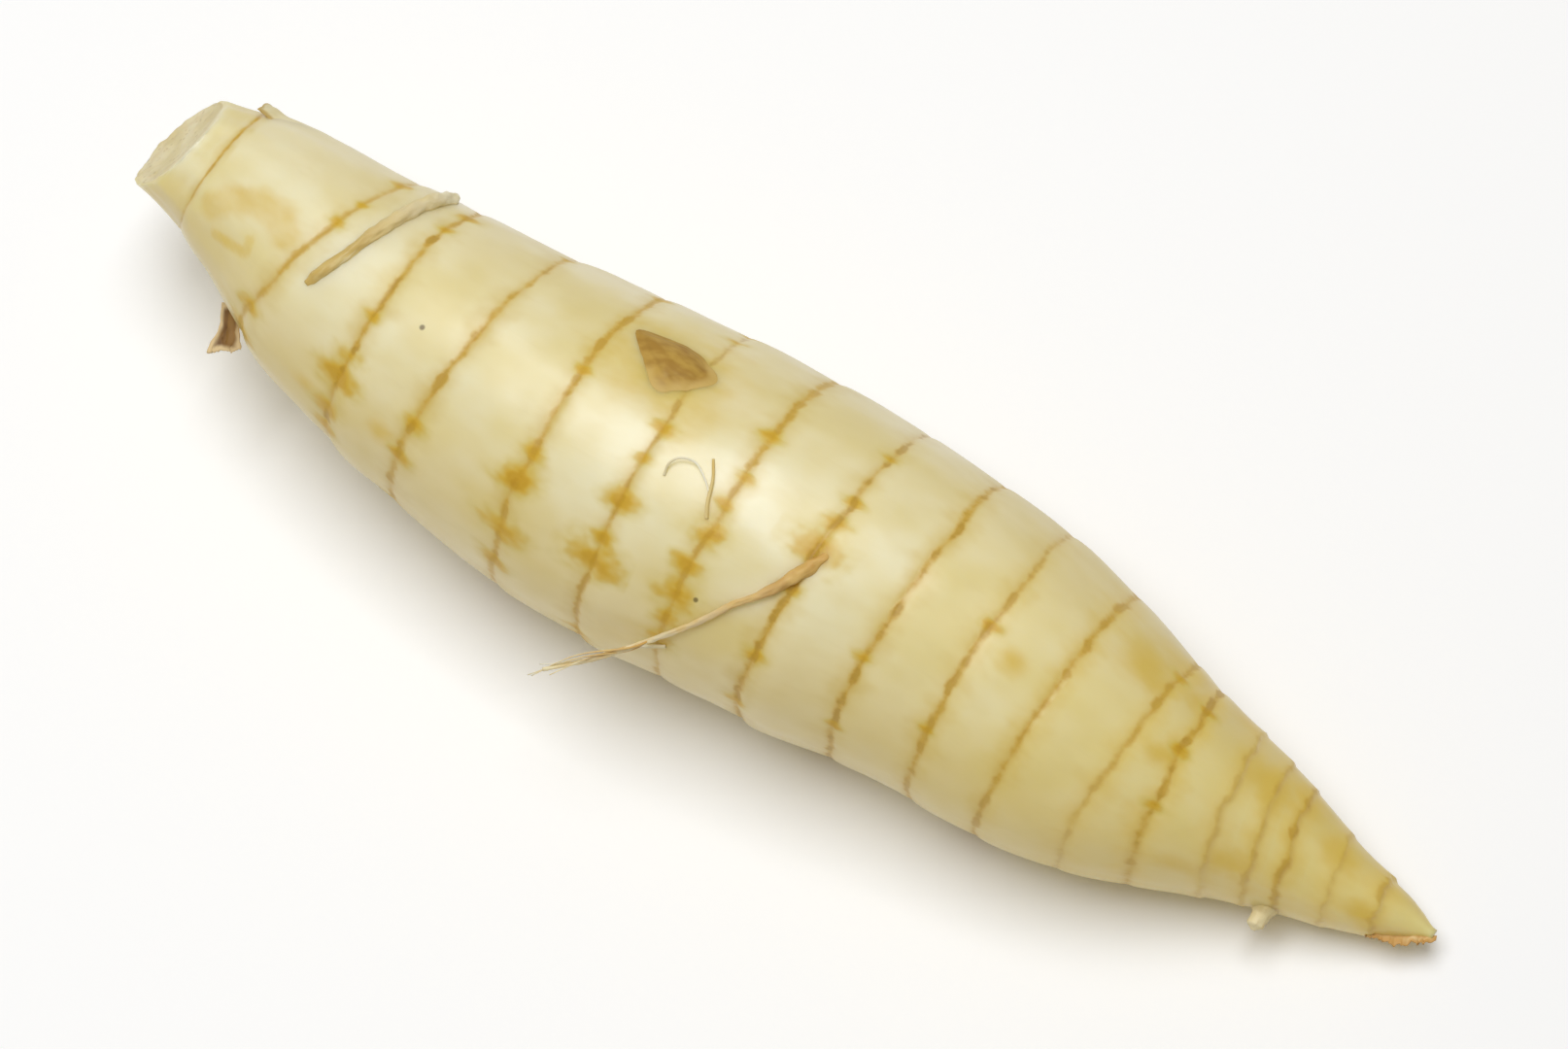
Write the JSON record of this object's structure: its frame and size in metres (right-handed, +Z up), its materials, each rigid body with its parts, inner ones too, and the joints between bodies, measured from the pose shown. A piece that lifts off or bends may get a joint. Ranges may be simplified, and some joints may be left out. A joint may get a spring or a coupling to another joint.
{
  "type": "arrowroot rhizome",
  "caption": "Fresh arrowroot rhizome: a pale cream, ringed, tapering underground stem with dry scales, buds and thin roots, lying on its side.",
  "frame": {"origin": "centre of the bounding box's footprint, on the plane the rhizome lies on", "axes": "+X along the rhizome towards its point, +Y towards the side that was away from the viewer, +Z up"},
  "size_m": [0.1718, 0.0483, 0.0387],
  "materials": {
    "skin": "satin",
    "dry_scale": "matte",
    "dark_scale": "matte",
    "bud": "matte",
    "root": "matte"
  },
  "bodies": {
    "root": {"rhizome": "skin", "neck_scale": "dry_scale", "torn_scale": "dark_scale", "tip_scale": "dry_scale", "pointed_bud": "bud", "round_bud_1": "bud", "round_bud_2": "bud", "round_bud_3": "bud", "round_bud_4": "bud", "round_bud_5": "bud", "round_bud_6": "bud", "round_bud_7": "bud", "root_nub": "root", "root_stub": "root", "long_root": "root", "long_root_branch": "root", "hair_root_1": "root", "hair_root_2": "root"}
  },
  "joints": []
}
